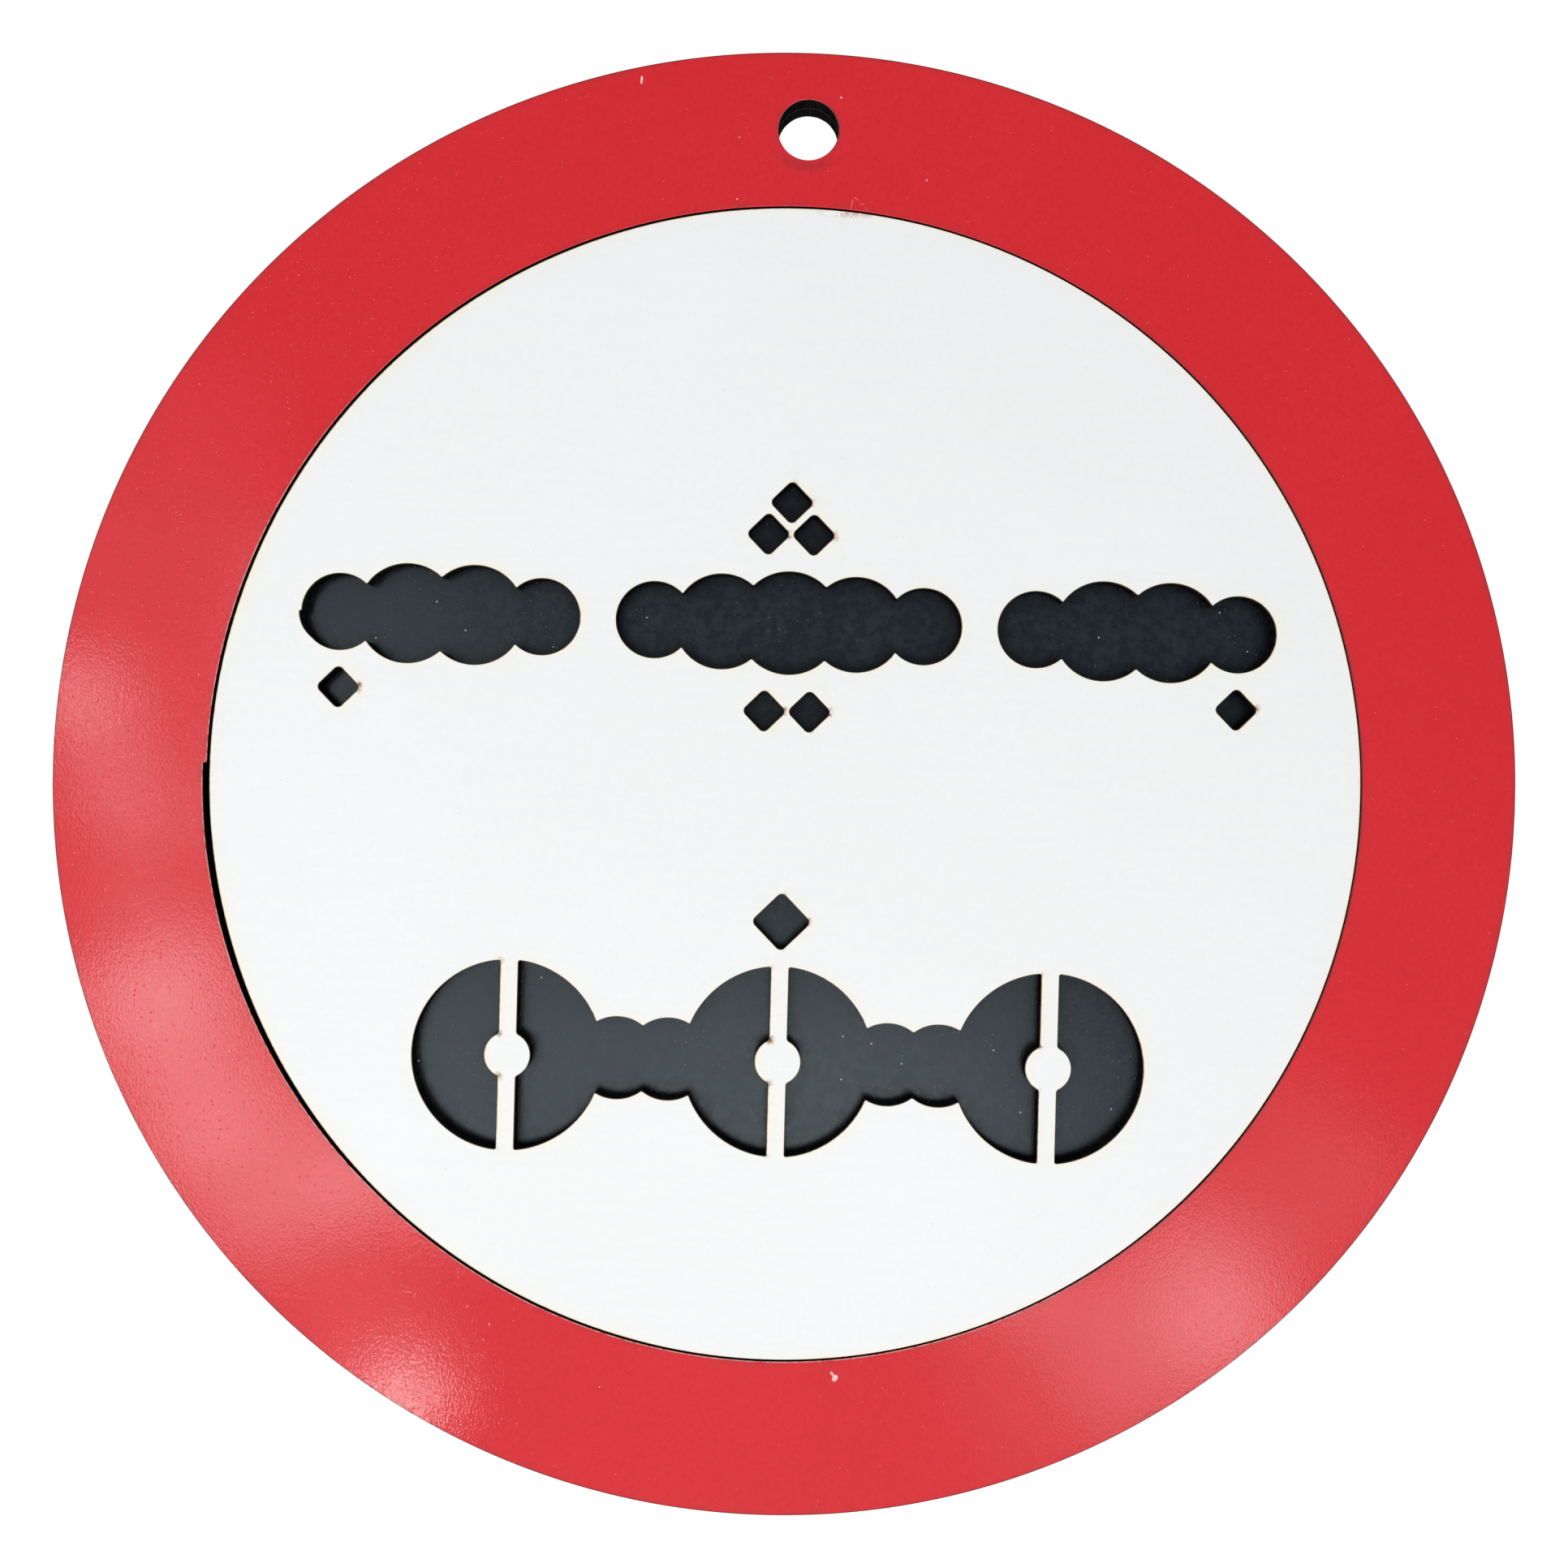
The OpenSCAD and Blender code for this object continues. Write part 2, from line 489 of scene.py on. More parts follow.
def layers(cuts, spots, extra, bare, windows, rng):
    """What the materials read at each point: its distance from the cuts, how far it is on their lee side,
    how burnt and how bare it is, and its distance from the windows and how far it is under a sill."""
    tree, _, normals = nearest(cuts)
    on_walls = len(spots) - len(extra)
    lee = np.clip(-normals[:, 0], 0, 1)
    found = [tree.find((*p, 0)) for p in extra]
    result = {
        "edge_mm": np.concatenate((np.zeros(on_walls), [gap for _, _, gap in found])),
        "lee": np.concatenate((np.tile(lee, on_walls // len(lee)), [lee[i] for _, i, _ in found])),
        "scorch": scorch(cuts, spots, rng),
        "bare": np.concatenate((np.zeros(on_walls), bare)),
    }
    if windows:
        window_tree, _, window_normals = nearest(windows)
        found = [window_tree.find((*p, 0)) for p in spots]
        result["window_mm"] = [gap for _, _, gap in found]
        result["sill"] = [0.5 + 0.5 * window_normals[i][1] for _, i, _ in found]
    return result


def board(name, node, front, back, materials, marks=(), windows=(), edge_r=EDGE_R, seed=1):
    """A board as the laser leaves it: a coat with rounded edges on its face, walls with fine stripes
    across them, and a flat back. materials are the coat's, the wall's and the back's."""
    rng = np.random.default_rng(seed)
    cuts = outlines(node)
    edges = rim_edges(cuts)
    rows = wall_points(cuts, wall_rows(front, back, edge_r), rng)
    extra = inner_points(cuts, marks, windows)
    face_points, bare = marked(extra, front, marks)
    points = np.concatenate(rows + [face_points])
    faces, slots = skin(rows, edges, extra)

    mesh = bpy.data.meshes.new(name)
    mesh.from_pydata((points * MM).tolist(), [], faces)
    for material in materials:
        mesh.materials.append(material)
    mesh.polygons.foreach_set("material_index", slots)
    mesh.polygons.foreach_set("use_smooth", [True] * len(faces))
    total = len(rows[0])
    sharp_rows = (0, COAT_ROWS, len(rows) - 2, len(rows) - 1)
    sharp = {frozenset((k * total + a, k * total + b)) for k in sharp_rows for a, b in edges}
    flags = [frozenset(e.vertices) in sharp for e in mesh.edges]
    mesh.attributes.new("sharp_edge", "BOOLEAN", "EDGE").data.foreach_set("value", flags)
    for title, values in layers(cuts, points[:, ::2], extra, bare, windows, rng).items():
        layer = mesh.attributes.new(title, "FLOAT", "POINT")
        layer.data.foreach_set("value", np.asarray(values, dtype=np.float32))
    mesh.validate()
    mesh.update()

    piece = bpy.data.objects.new(name, mesh)
    bpy.context.scene.collection.objects.link(piece)
    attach(piece, "root")
    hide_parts(node)
    return piece


# Shader helpers

class Shader:
    """Short calls for making a material's nodes. Positions are in millimetres."""

    def __init__(self, name):
        self.material = bpy.data.materials.new(name)
        self.material.use_nodes = True
        self.tree = self.material.node_tree
        self.tree.nodes.clear()
        coords = self.node("ShaderNodeTexCoord").outputs["Object"]
        self.place = self.vector("MULTIPLY", coords, (1 / MM, 1 / MM, 1 / MM))
        parts = self.node("ShaderNodeSeparateXYZ", Vector=self.place)
        self.x, self.y, self.z = parts.outputs
        self.flat = self.node("ShaderNodeCombineXYZ", X=self.x, Y=self.z).outputs[0]

    def node(self, kind, settings=(), **inputs):
        made = self.tree.nodes.new(kind)
        for key, value in dict(settings).items():
            setattr(made, key, value)
        for key, value in inputs.items():
            self.plug(made.inputs[key.replace("_", " ")], value)
        return made

    def plug(self, socket, value):
        if isinstance(value, bpy.types.NodeSocket):
            self.tree.links.new(value, socket)
        else:
            socket.default_value = value

    def math(self, operation, a, b):
        made = self.node("ShaderNodeMath", {"operation": operation})
        self.plug(made.inputs[0], a)
        self.plug(made.inputs[1], b)
        return made.outputs[0]

    def times(self, product, *factors):
        for factor in factors:
            product = self.math("MULTIPLY", product, factor)
        return product

    def unless(self, value):
        """1 where the value is 0, and 0 where it is 1."""
        return self.math("SUBTRACT", 1.0, value)

    def vector(self, operation, a, b):
        made = self.node("ShaderNodeVectorMath", {"operation": operation})
        self.plug(made.inputs[0], a)
        self.plug(made.inputs[1], b)
        return made.outputs["Value" if operation in ("DISTANCE", "LENGTH") else "Vector"]

    def distance(self, x, y, z):
        """How far each place is from a point."""
        return self.vector("DISTANCE", self.place, (x, y, z))

    def fade(self, value, low, high, start=0.0, end=1.0):
        """start below low, end above high, and a smooth turn between them."""
        made = self.node("ShaderNodeMapRange", {"interpolation_type": "SMOOTHSTEP"}, Value=value)
        for socket, number in zip(list(made.inputs)[1:5], (low, high, start, end)):
            socket.default_value = number
        return made.outputs[0]

    def mix(self, amount, a, b):
        made = self.node("ShaderNodeMix", {"data_type": "RGBA", "clamp_factor": True})
        self.plug(made.inputs[0], amount)
        self.plug(made.inputs[6], a)
        self.plug(made.inputs[7], b)
        return made.outputs[2]

    def noise(self, per_mm, detail=2.0, roughness=0.5, stretch=(1, 1, 1), seed=0.0):
        shifted = self.vector("ADD", self.vector("MULTIPLY", self.place, stretch), (seed, seed * 1.7, -seed))
        made = self.node("ShaderNodeTexNoise", Vector=shifted, Scale=per_mm, Detail=detail)
        self.plug(made.inputs["Roughness"], roughness)
        return made.outputs[0]

    def specks(self, per_mm, radius, share, seed=0.0, soft=0.5):
        """Round specks of a radius in mm, in a share of the cells of a grid with per_mm cells to the mm."""
        shifted = self.vector("ADD", self.flat, (seed, seed * 2.3, 0))
        cells = self.node("ShaderNodeTexVoronoi", {"voronoi_dimensions": "2D"}, Vector=shifted, Scale=per_mm)
        near = self.fade(cells.outputs["Distance"], radius * per_mm * (1 - soft), radius * per_mm, 1, 0)
        pick = self.node("ShaderNodeSeparateColor", Color=cells.outputs["Color"]).outputs[0]
        return self.times(near, self.math("LESS_THAN", pick, share))

    def attribute(self, name):
        return self.node("ShaderNodeAttribute", {"attribute_name": name}).outputs["Fac"]

    def spot(self, x, z, radius_x, radius_z):
        """1 at a place given right of and above the sign's centre, falling to 0 at its radii."""
        gap = self.vector("SUBTRACT", self.flat, (x, z - HOLE_RISE, 0))
        scaled = self.vector("DIVIDE", gap, (radius_x, radius_z, 1))
        return self.fade(self.vector("LENGTH", scaled, (0, 0, 0)), 0, 1, 1, 0)

    def bump(self, height, depth_mm, strength=1.0, under=None):
        made = self.node("ShaderNodeBump", Height=height, Strength=strength, Distance=depth_mm * MM)
        if under is not None:
            self.plug(made.inputs["Normal"], under)
        return made.outputs[0]

    def finish(self, color, roughness, normal, specular=0.5, tint=(1, 1, 1, 1)):
        shader = self.node("ShaderNodeBsdfPrincipled", Base_Color=color, Roughness=roughness, Normal=normal)
        shader.inputs["Specular IOR Level"].default_value = specular
        shader.inputs["Specular Tint"].default_value = tint
        out = self.node("ShaderNodeOutputMaterial")
        self.tree.links.new(shader.outputs[0], out.inputs["Surface"])
        return self.material


# Distances in millimetres over which a material passes from one part of a board to the next: from the
# ring's inner half to its outer half, onto the panel's rim, and into the smoke at the back's edges
RING_MIDDLE = (94, 96)
PANEL_RIM = (77.6, 78.2)
BACK_RIM = (94.5, 100.2)
BACK_HOLE = (4.2, 10.5)


# The red coat

def red_edges(s, color):
    """Smoke along the ring's cuts, a pale line of painted highlight where the light falls on the lower left
    of its opening, and burnt edges.
    """
    edge = s.attribute("edge_mm")
    smoke = s.times(s.fade(edge, 0.0, 1.1, 0.35, 0), s.fade(s.noise(0.35, 2, 0.5, seed=4), 0.3, 0.7))
    color = s.mix(smoke, color, (0.32, 0.035, 0.035, 1))
    inside = s.fade(s.distance(0, FRONT_Y, -HOLE_RISE), *RING_MIDDLE, 1, 0)
    lower_left = s.math("SUBTRACT", -HOLE_RISE, s.math("ADD", s.x, s.z))
    lit_side = s.times(s.fade(lower_left, -12, 40), s.fade(s.noise(1.1, 2, 0.6, seed=33), 0.3, 0.6))
    # pale is a painted highlight: a light line along the opening's edge, only on its lit lower left side
    pale = s.times(s.fade(edge, 0.0, 0.15, 0.75, 0), inside, lit_side)
    color = s.mix(pale, color, (0.74, 0.40, 0.38, 1))
    burnt = s.times(s.fade(edge, 0.0, 0.22, 0.8, 0), s.fade(s.attribute("lee"), 0.25, 0.8), inside)
    color = s.mix(burnt, color, (0.10, 0.012, 0.012, 1))
    rim = s.times(s.fade(edge, 0.0, 0.24, 0.9, 0), s.unless(inside))
    return s.mix(rim, color, (0.16, 0.010, 0.012, 1))


def red_smudge(s, color, fine):
    """A smudge that hugs the lower edge of the hang hole."""
    from_hole = s.distance(0, FRONT_Y, 0)
    below = s.fade(s.math("ADD", s.z, s.times(s.x, 0.05)), -4.9, -2.6, 1, 0)
    band = s.times(s.fade(from_hole, 4.2, 4.9), s.fade(from_hole, 5.1, 6.3, 1, 0))
    smudge = s.times(band, below, s.fade(fine, 0.25, 0.62, 0.35, 0.8))
    return s.mix(s.times(smudge, 0.60), color, (0.27, 0.030, 0.040, 1))


def red_specks_and_glints(s, color, crowd):
    """Painted glints and sparkles, pale specks that stand for highlights on the coat's grain, and real dark
    specks in the coat, more of the fine ones where it is crowded.
    """
    # painted highlights: pale glints, most where the coat is crowded with pips
    painted_glint = s.fade(s.noise(3.0, 2, 0.6, seed=41), 0.69, 0.75)
    color = s.mix(s.times(painted_glint, crowd, 0.6), color, (0.95, 0.50, 0.52, 1))
    fleck = s.fade(s.noise(2.6, 2, 0.6, seed=43), 0.66, 0.74)
    color = s.mix(s.times(fleck, crowd, 0.4), color, (0.45, 0.010, 0.018, 1))
    # more painted highlights: small pale sparkles all over the coat
    painted_sparkle = s.specks(0.36, 0.085, 0.12, seed=3)
    color = s.mix(s.times(painted_sparkle, 0.5), color, (0.85, 0.40, 0.42, 1))
    dark = s.specks(0.45, 0.12, 0.09, seed=8)
    return s.mix(s.times(dark, 0.35), color, (0.38, 0.012, 0.016, 1))


def red_normal(s, crowd):
    """The coat's pressed grain, its slower waves, and pips where it is crowded."""
    normal = s.bump(s.noise(3.0, 2, 0.6, stretch=(1.1, 1, 0.8), seed=2), 0.0115)
    normal = s.bump(s.noise(1.2, 1, 0.5, seed=25), 0.0040, under=normal)
    pips = s.times(s.specks(0.9, 0.16, 0.20, seed=21, soft=0.95), crowd)
    return s.bump(pips, 0.018, under=normal)


def red_coat():
    """Smooth satin red, with a pressed grain that shows in the gloss and smoke along the cuts."""
    s = Shader("red_coat")
    fine = s.noise(1.6, 3, 0.6)
    color = s.mix(s.noise(0.05, 2, 0.5), (0.665, 0.0225, 0.0310, 1), (0.725, 0.0270, 0.0380, 1))
    color = s.mix(s.fade(fine, 0.35, 0.75, 0, 0.30), color, (0.55, 0.015, 0.022, 1))
    color = red_edges(s, color)
    color = red_smudge(s, color, fine)
    crowd = s.fade(s.x, -72, -30, 1, 0.25)
    color = red_specks_and_glints(s, color, crowd)
    torn = s.fade(s.noise(2.2, 2, 0.6, seed=12), 0.35, 0.6, 0.55, 1.0)
    color = s.mix(s.times(s.attribute("bare"), torn), color, (0.90, 0.80, 0.78, 1))
    rough = s.fade(s.noise(0.9, 3, 0.6, seed=6), 0.2, 0.8, 0.055, 0.085)
    return s.finish(color, rough, red_normal(s, crowd))


# The white coat

def white_smoke(s, color):
    """Smoke round every cut, from a wide haze to burnt corners and a charred edge, which is left off
    most of the panel's own rim."""
    edge, lee = s.attribute("edge_mm"), s.attribute("lee")
    patch = s.fade(s.noise(0.16, 3, 0.6, seed=9), 0.35, 0.65, 0.35, 1.0)
    lee_side = s.math("ADD", s.times(lee, 0.8), 0.2)
    haze = s.times(s.fade(edge, 0.2, 2.6, 0.34, 0), patch, lee_side)
    color = s.mix(haze, color, (0.93, 0.84, 0.58, 1))
    cream = s.times(s.fade(edge, 0.05, 0.65, 0.62, 0), patch)
    color = s.mix(cream, color, (0.95, 0.87, 0.66, 1))
    uneven = s.fade(s.noise(1.3, 3, 0.65, seed=14), 0.30, 0.70, 0.1, 1.0)
    brown = s.times(s.fade(edge, 0.02, 0.27, 0.85, 0), uneven, lee_side)
    color = s.mix(brown, color, (0.50, 0.25, 0.08, 1))
    burn = s.times(s.attribute("scorch"), s.fade(s.noise(2.4, 3, 0.7, seed=17), 0.25, 0.62, 0.35, 1.0))
    color = s.mix(s.fade(burn, 0.10, 0.75, 0, 0.95), color, (0.28, 0.12, 0.035, 1))
    color = s.mix(s.fade(burn, 0.62, 1.0, 0, 0.9), color, (0.05, 0.025, 0.012, 1))
    clean_rim = s.times(s.fade(s.distance(0, FRONT_Y, -HOLE_RISE), *PANEL_RIM), s.unless(lee))
    char = s.times(s.fade(edge, 0.0, 0.07, 0.92, 0), s.unless(clean_rim))
    return s.mix(char, color, (0.030, 0.017, 0.010, 1))


def white_dirt(s, color):
    """The reddish smear near the top of the rim, and small and larger grey specks."""
    smear = s.times(s.spot(6.0, 78.3, 6.0, 0.9), s.fade(s.noise(0.9, 3, 0.7, seed=19), 0.42, 0.62))
    color = s.mix(s.times(smear, 0.8), color, (0.52, 0.27, 0.24, 1))
    blush = s.times(s.spot(4.0, 77.4, 8.0, 2.2), s.fade(s.noise(0.4, 2, 0.6, seed=23), 0.4, 0.7))
    color = s.mix(s.times(blush, 0.15), color, (0.80, 0.62, 0.60, 1))
    small = s.specks(0.50, 0.10, 0.13, seed=4, soft=0.8)
    color = s.mix(s.times(small, 0.28), color, (0.45, 0.47, 0.49, 1))
    larger = s.specks(0.12, 0.17, 0.10, seed=11, soft=0.8)
    return s.mix(s.times(larger, 0.38), color, (0.40, 0.41, 0.43, 1))


def white_coat():
    """Smooth white with a faint sideways grain, yellowed by smoke round every cut."""
    s = Shader("white_coat")
    streak = s.noise(0.8, 3, 0.6, stretch=(0.16, 1, 1.4), seed=1)
    broad = s.noise(0.03, 2, 0.5, seed=5)
    color = s.mix(broad, (0.878, 0.890, 0.880, 1), (0.896, 0.900, 0.904, 1))
    color = s.mix(s.fade(streak, 0.35, 0.7, 0, 0.45), color, (0.85, 0.864, 0.868, 1))
    color = white_dirt(s, white_smoke(s, color))
    rough = s.fade(s.noise(0.7, 3, 0.6, seed=7), 0.2, 0.8, 0.22, 0.32)
    return s.finish(color, rough, s.bump(streak, 0.006, 0.6), specular=0.15)


# The other materials

def slate_coat():
    """Dark slate coat of the backing board, with a fine grain, white dust, and painted shade beside the
    windows, strongest along their lower edges.
    """
    s = Shader("slate_coat")
    mottle = s.noise(0.8, 4, 0.65, seed=5)
    grain = s.noise(2.6, 3, 0.7, stretch=(1.6, 1, 0.5), seed=8)
    broad = s.noise(0.09, 3, 0.55, seed=2)
    color = s.mix(broad, (0.0060, 0.0080, 0.0140, 1), (0.0100, 0.0150, 0.0240, 1))
    color = s.mix(s.fade(mottle, 0.35, 0.7, 0, 0.45), color, (0.030, 0.035, 0.042, 1))
    color = s.mix(s.fade(grain, 0.40, 0.75, 0, 0.40), color, (0.009, 0.010, 0.013, 1))
    # painted shade: the backing darkened beside the windows, most along their lower edges, as a shadow falls
    # there in light from below
    under_sill = s.math("ADD", s.times(s.attribute("sill"), 0.5), 0.5)
    painted_shade = s.times(s.fade(s.attribute("window_mm"), 0.0, 2.1, 0.95, 0), under_sill)
    color = s.mix(painted_shade, color, (0.003, 0.003, 0.0035, 1))
    clumps = s.fade(s.noise(0.12, 2, 0.5, seed=31), 0.45, 0.65, 0.15, 1.0)
    dust = s.times(s.specks(1.3, 0.085, 0.14, seed=13), clumps)
    color = s.mix(s.times(dust, 0.45), color, (0.45, 0.48, 0.50, 1))
    flakes = s.specks(0.24, 0.13, 0.14, seed=16)
    color = s.mix(s.times(flakes, 0.8), color, (0.80, 0.82, 0.84, 1))
    rim = s.fade(s.attribute("edge_mm"), 0.0, 0.3, 1, 0)
    color = s.mix(rim, color, (0.003, 0.003, 0.003, 1))
    rough = s.math("ADD", s.fade(mottle, 0.3, 0.7, 0.24, 0.32), s.times(rim, 0.5))
    return s.finish(color, rough, s.bump(grain, 0.010, 0.8), specular=0.42, tint=(0.80, 0.95, 1, 1))


def charred_wall():
    """A laser-cut wall: sooty black and brown, striped from face to face."""
    s = Shader("charred_wall")
    stripes = s.noise(2.0, 3, 0.6, stretch=(1, 0.04, 1), seed=3)
    blotch = s.noise(0.3, 3, 0.6, stretch=(1, 1.5, 1), seed=9)
    color = s.mix(s.fade(stripes, 0.3, 0.7), (0.0032, 0.0032, 0.0034, 1), (0.0125, 0.0110, 0.0105, 1))
    color = s.mix(s.fade(blotch, 0.55, 0.78, 0, 0.5), color, (0.020, 0.011, 0.007, 1))
    rough = s.fade(stripes, 0.2, 0.8, 0.65, 0.90)
    return s.finish(color, rough, s.bump(stripes, 0.030, 0.8), specular=0)


def raw_back():
    """The bare brown fibreboard at the back, with smoke along the cuts."""
    s = Shader("raw_back")
    fibre = s.noise(1.1, 5, 0.7, stretch=(0.7, 1, 1.6), seed=4)
    fleck = s.noise(3.0, 3, 0.7, seed=6)
    broad = s.noise(0.04, 2, 0.5, seed=10)
    color = s.mix(s.fade(fibre, 0.3, 0.7), (0.26, 0.150, 0.078, 1), (0.40, 0.255, 0.145, 1))
    color = s.mix(s.fade(broad, 0.3, 0.7, 0, 0.25), color, (0.33, 0.19, 0.10, 1))
    color = s.mix(s.fade(fleck, 0.55, 0.75, 0, 0.5), color, (0.15, 0.08, 0.04, 1))
    cloudy = s.fade(s.noise(0.14, 3, 0.65, seed=15), 0.3, 0.7, 0.3, 1.0)
    rim_smoke = s.times(s.fade(s.distance(0, BACK_Y, -HOLE_RISE), *BACK_RIM, 0, 0.85), cloudy)
    color = s.mix(rim_smoke, color, (0.050, 0.028, 0.016, 1))
    hole_smoke = s.times(s.fade(s.distance(0, BACK_Y, 0), *BACK_HOLE, 0.95, 0), cloudy)
    color = s.mix(hole_smoke, color, (0.035, 0.020, 0.012, 1))
    return s.finish(color, 0.78, s.bump(fibre, 0.035, 0.7), specular=0.3)


FLOOR_GLOW = 0.26


def pale_floor():
    """A plain pale floor that glows a little, so that it is as white as the photograph's background."""
    s = Shader("pale_floor")
    color = s.mix(s.noise(0.004, 3, 0.5), (0.90, 0.90, 0.90, 1), (0.94, 0.94, 0.94, 1))
    material = s.finish(color, 0.8, s.bump(s.noise(0.5, 2, 0.5), 0.02, 0.2), specular=0.2)
    shader = material.node_tree.nodes["Principled BSDF"]
    shader.inputs["Emission Color"].default_value = (1, 1, 1, 1)
    shader.inputs["Emission Strength"].default_value = FLOOR_GLOW
    return material


# Camera at the photograph's place: straight in front, turned a little about its own axis

VIEW_DISTANCE = 228.6
FRAME_WIDTH = 214.33
ROLL = math.radians(2.15)
SENSOR = 36.0


def make_camera():
    data = bpy.data.cameras.new("camera")
    data.sensor_width = SENSOR
    data.lens = SENSOR * VIEW_DISTANCE / FRAME_WIDTH
    data.clip_start, data.clip_end = 0.01, 50
    camera = bpy.data.objects.new("camera", data)
    bpy.context.scene.collection.objects.link(camera)
    right = Vector((math.cos(ROLL), 0, math.sin(ROLL)))
    up = Vector((-math.sin(ROLL), 0, math.cos(ROLL)))
    turn = Matrix((right, up, Vector((0, -1, 0)))).transposed().to_4x4()
    place = CENTRE + Vector((0, FRONT_Y - VIEW_DISTANCE, 0))
    camera.matrix_world = Matrix.Translation(place * MM) @ turn
    bpy.context.scene.camera = camera


# Light: a white room that is dimmer straight ahead, a wide soft light from the lower left, and small
# panels whose mirror images are the gloss on the ring. Each gloss patch is named by its place right of
# and above the picture's centre, its length and width on the sign, its turn in degrees, and how bright
# it is. The panels stand one behind the other, so that none shares its depth with another.

GLOSS_DISTANCE = 420
GLOSS_SPACING = 3
GLOSS_PATCHES = (
    ("gloss_middle", -12.0, -47.0, 98, 38, 172, 2.1),
    ("gloss_middle_right", 14.0, -37.0, 46, 30, 172, 0.8),
    ("gloss_upper_left", -60.0, 10.0, 44, 26, 80, 1.6),
    ("gloss_left_glow", -86.0, 12.0, 92, 34, 90, 0.18),
    ("gloss_left_glow_core", -86.0, 5.0, 70, 34, 90, 0.18),
    ("gloss_left", -93.7, 3.5, 27, 5, 113, 2.2),
    ("gloss_left_fade", -90.5, 5.0, 28, 10, 113, 0.8),
    ("gloss_left_top", -97.0, 13.0, 11, 5, 108, 3.2),
    ("gloss_lower_left_rim", -86.5, -24.0, 24, 11, 97, 0.9),
    ("gloss_lower_left_core", -83.0, -38.0, 30, 16, 110, 1.4),
    ("gloss_lower_left", -78.0, -42.0, 44, 24, 118, 1.6),
    ("gloss_lower_left_end", -70.5, -55.0, 26, 20, 125, 0.5),
    ("gloss_lower_left_fade", -62.0, -66.0, 26, 20, 125, 0.5),
    ("gloss_bottom_left", -52.5, -84.5, 7.5, 6, 100, 13.0),
    ("gloss_bottom_left_fade", -53.5, -82.5, 14, 12, 100, 1.4),
    ("gloss_bottom_right", 59.5, -74.0, 15, 14, 35, 1.5),
    ("gloss_bottom_right_fade", 52.0, -74.0, 32, 25, 30, 1.15),
    ("gloss_bottom_right_end", 44.0, -78.0, 42, 24, 25, 0.4),
    ("gloss_bottom_right_streak", 74.0, -58.0, 26, 7, 48, 0.4),
    ("gloss_right_glow", 66.0, -58.0, 34, 26, 45, 0.5),
)
WINDOW_PLACE = (-1000, -900, -1000)
WINDOW_SIZE = 1000
WINDOW_RADIANCE = 1.7

# The watts that give a square metre of Blender's area light a radiance of 1
WATTS_PER_RADIANCE = 4


def area_light(name, place, turn, width, height, radiance):
    """A rectangular light of an even radiance, at a place given from the middle of the sign's face."""
    data = bpy.data.lights.new(name, "AREA")
    data.shape = "RECTANGLE"
    data.size, data.size_y = width * MM, height * MM
    data.energy = WATTS_PER_RADIANCE * radiance * data.size * data.size_y
    light = bpy.data.objects.new(name, data)
    light.visible_camera = False
    bpy.context.scene.collection.objects.link(light)
    light.matrix_world = Matrix.Translation((CENTRE + Vector((0, FRONT_Y, 0)) + Vector(place)) * MM) @ turn


def gloss_light(distance, name, x, z, length, width, turn, radiance):
    """A light panel seen mirrored in the face at a place in the picture, from where the camera stands."""
    scale = 1 + distance / VIEW_DISTANCE
    place = Matrix.Rotation(-ROLL, 4, "Y") @ Vector((x * scale, -distance, z * scale))
    facing = Matrix.Rotation(-ROLL - math.radians(turn), 4, "Y") @ Matrix.Rotation(math.radians(90), 4, "X")
    area_light(name, place, facing, length * scale, width * scale, radiance)


def soft_light(name, place, size, radiance):
    """A wide light that faces the middle of the sign."""
    facing = (-Vector(place)).to_track_quat("-Z", "Y").to_matrix().to_4x4()
    area_light(name, place, facing, size, size, radiance)


# How bright the room is: from straight ahead of the sign to its sides, then from the dim upper right to
# the bright lower left. Each holds two directions' cosines and the two brightnesses there.
AHEAD_LEVELS = (-0.93, -0.62, 0.255, 1.09)
SIDE_LEVELS = (-0.42, 0.42, -0.13, 0.25)
BRIGHT_SIDE = (-0.36, 0, -0.93)
ROOM_COLOR = (0.98, 0.99, 1.0, 1)
SEEN_COLOR = (1, 1, 1, 1)


def room_level(tree, source, numbers):
    """A smooth turn between two brightnesses, as the source goes from one number to the next."""
    level = tree.nodes.new("ShaderNodeMapRange")
    level.interpolation_type = "SMOOTHSTEP"
    for socket, number in zip(list(level.inputs)[1:5], numbers):
        socket.default_value = number
    tree.links.new(source, level.inputs["Value"])
    return level.outputs[0]


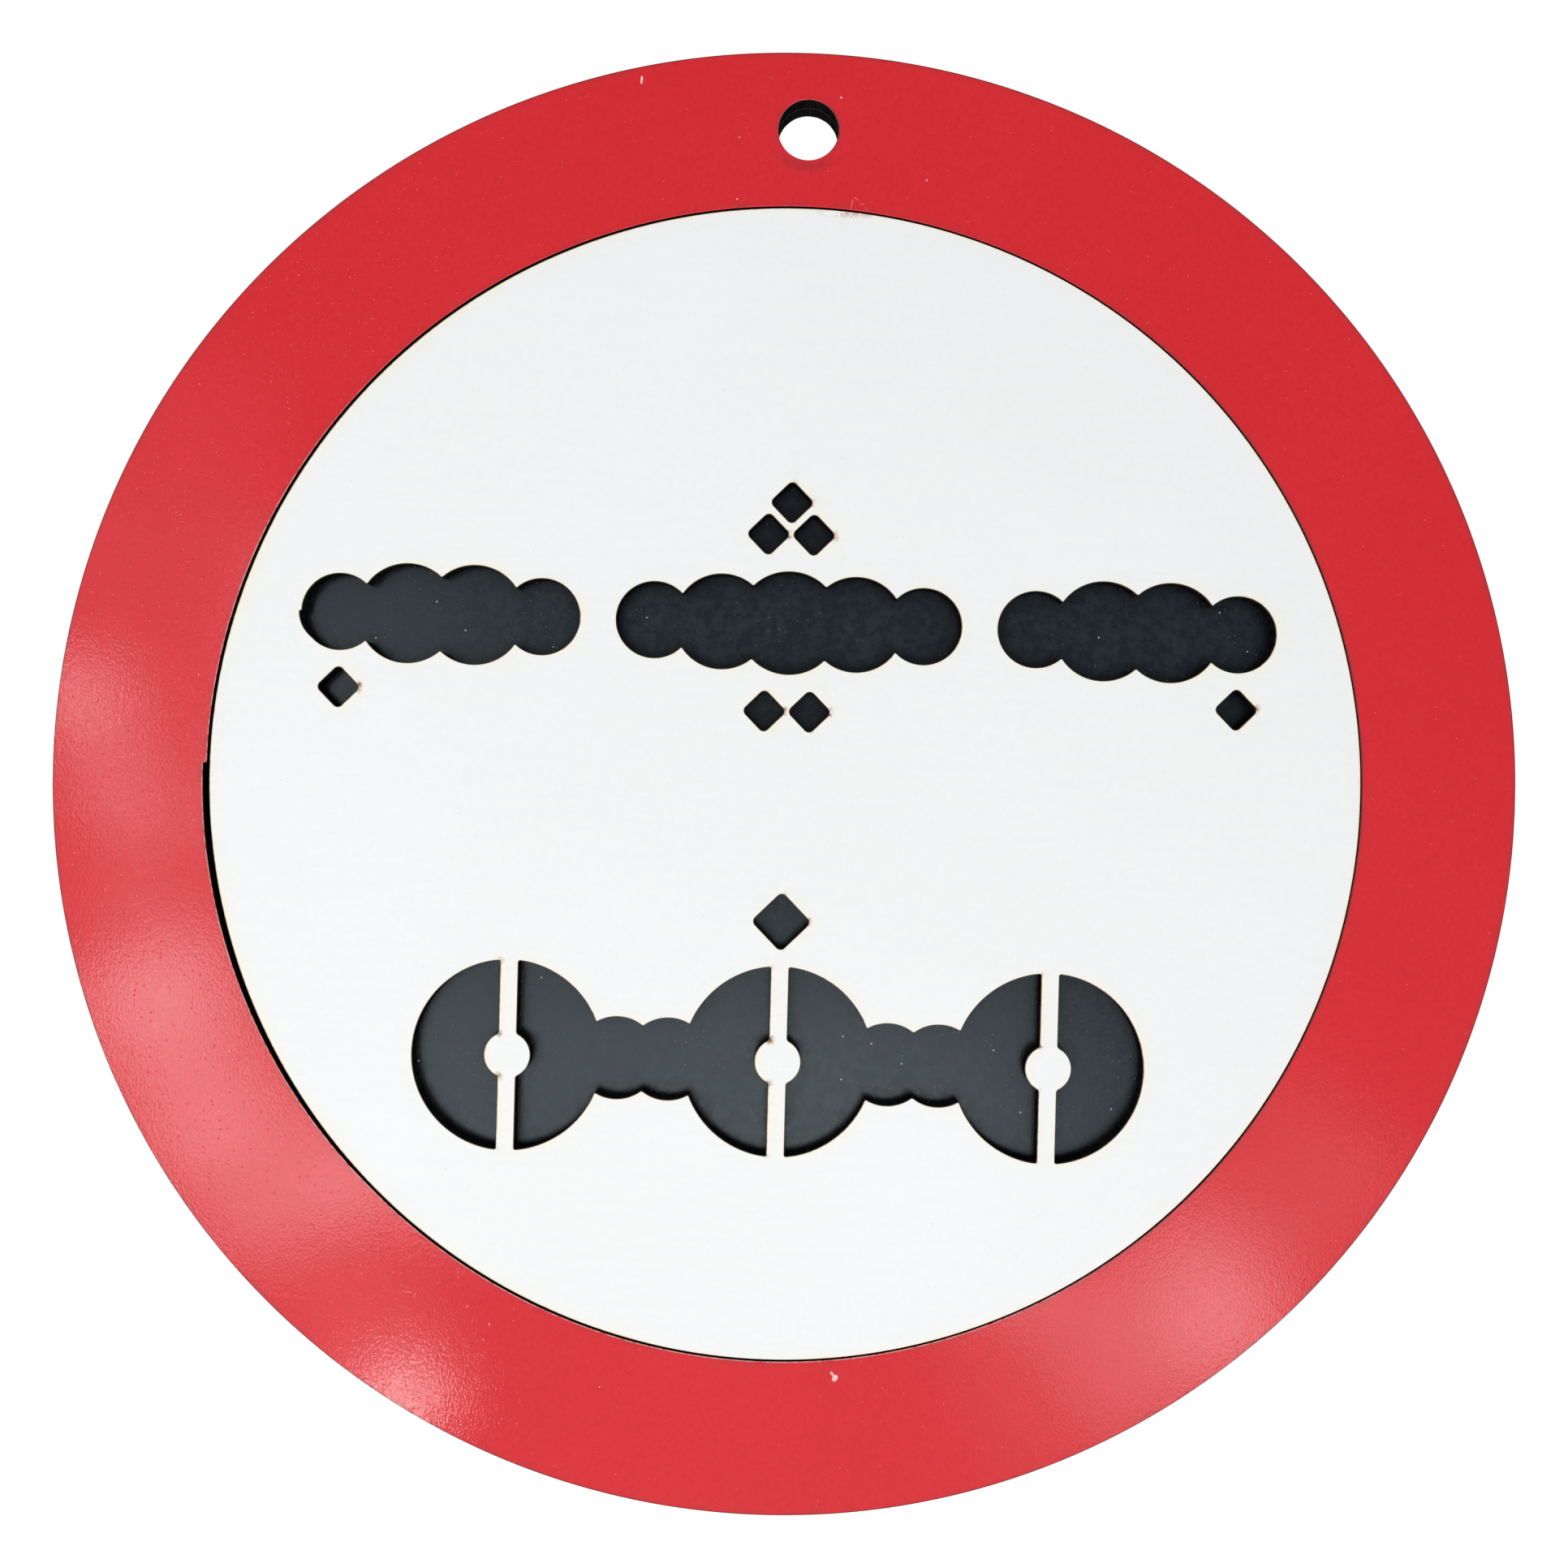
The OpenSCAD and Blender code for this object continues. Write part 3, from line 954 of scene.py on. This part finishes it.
def make_world():
    """The room that lights the sign and mirrors in it. The camera sees plain white in its place."""
    world = bpy.data.worlds.new("white_room")
    world.use_nodes = True
    tree = world.node_tree
    tree.nodes.clear()
    coords = tree.nodes.new("ShaderNodeTexCoord").outputs["Generated"]
    parts = tree.nodes.new("ShaderNodeSeparateXYZ")
    tree.links.new(coords, parts.inputs[0])
    lean = tree.nodes.new("ShaderNodeVectorMath")
    lean.operation = "DOT_PRODUCT"
    lean.inputs[1].default_value = BRIGHT_SIDE
    tree.links.new(coords, lean.inputs[0])
    total = tree.nodes.new("ShaderNodeMath")
    tree.links.new(room_level(tree, parts.outputs["Y"], AHEAD_LEVELS), total.inputs[0])
    tree.links.new(room_level(tree, lean.outputs["Value"], SIDE_LEVELS), total.inputs[1])
    room = tree.nodes.new("ShaderNodeBackground")
    room.inputs["Color"].default_value = ROOM_COLOR
    tree.links.new(total.outputs[0], room.inputs["Strength"])
    seen = tree.nodes.new("ShaderNodeBackground")
    seen.inputs["Color"].default_value = SEEN_COLOR
    path = tree.nodes.new("ShaderNodeLightPath")
    mix = tree.nodes.new("ShaderNodeMixShader")
    tree.links.new(path.outputs["Is Camera Ray"], mix.inputs[0])
    tree.links.new(room.outputs[0], mix.inputs[1])
    tree.links.new(seen.outputs[0], mix.inputs[2])
    out = tree.nodes.new("ShaderNodeOutputWorld")
    tree.links.new(mix.outputs[0], out.inputs["Surface"])
    bpy.context.scene.world = world


# How far the floor reaches to the sides and behind the sign, how far in front of it, and how far it lies
# below the sign's centre

FLOOR_HALF = 3000
FLOOR_FRONT = 1100
FLOOR_DROP = 620


def make_floor():
    mesh = bpy.data.meshes.new("floor")
    left, right, near, far = -FLOOR_HALF, FLOOR_HALF, -FLOOR_FRONT, FLOOR_HALF
    height = -HOLE_RISE - FLOOR_DROP
    corners = ((left, near), (right, near), (right, far), (left, far))
    mesh.from_pydata([(x * MM, y * MM, height * MM) for x, y in corners], [], [(0, 1, 2, 3)])
    mesh.materials.append(pale_floor())
    floor = bpy.data.objects.new("floor", mesh)
    bpy.context.scene.collection.objects.link(floor)


make_camera()
make_world()
make_floor()
soft_light("window", WINDOW_PLACE, WINDOW_SIZE, WINDOW_RADIANCE)
for i, patch in enumerate(GLOSS_PATCHES):
    gloss_light(GLOSS_DISTANCE + i * GLOSS_SPACING, *patch)

wall_material, back_material = charred_wall(), raw_back()
windows = [c for c in outlines("face_panel") if c.is_hole]
board(
    "slate_backing", "backing_board", JOIN_Y, BACK_Y,
    (slate_coat(), wall_material, back_material), windows=windows, edge_r=SEAM_R, seed=11,
)
board(
    "red_ring", "border_ring", FRONT_Y, JOIN_Y,
    (red_coat(), wall_material, back_material), marks=RING_MARKS, seed=12,
)
board(
    "white_panel", "face_panel", FRONT_Y, JOIN_Y,
    (white_coat(), wall_material, back_material), seed=13,
)

scene = bpy.context.scene
scene.view_settings.view_transform = "Standard"
scene.view_settings.look = "None"
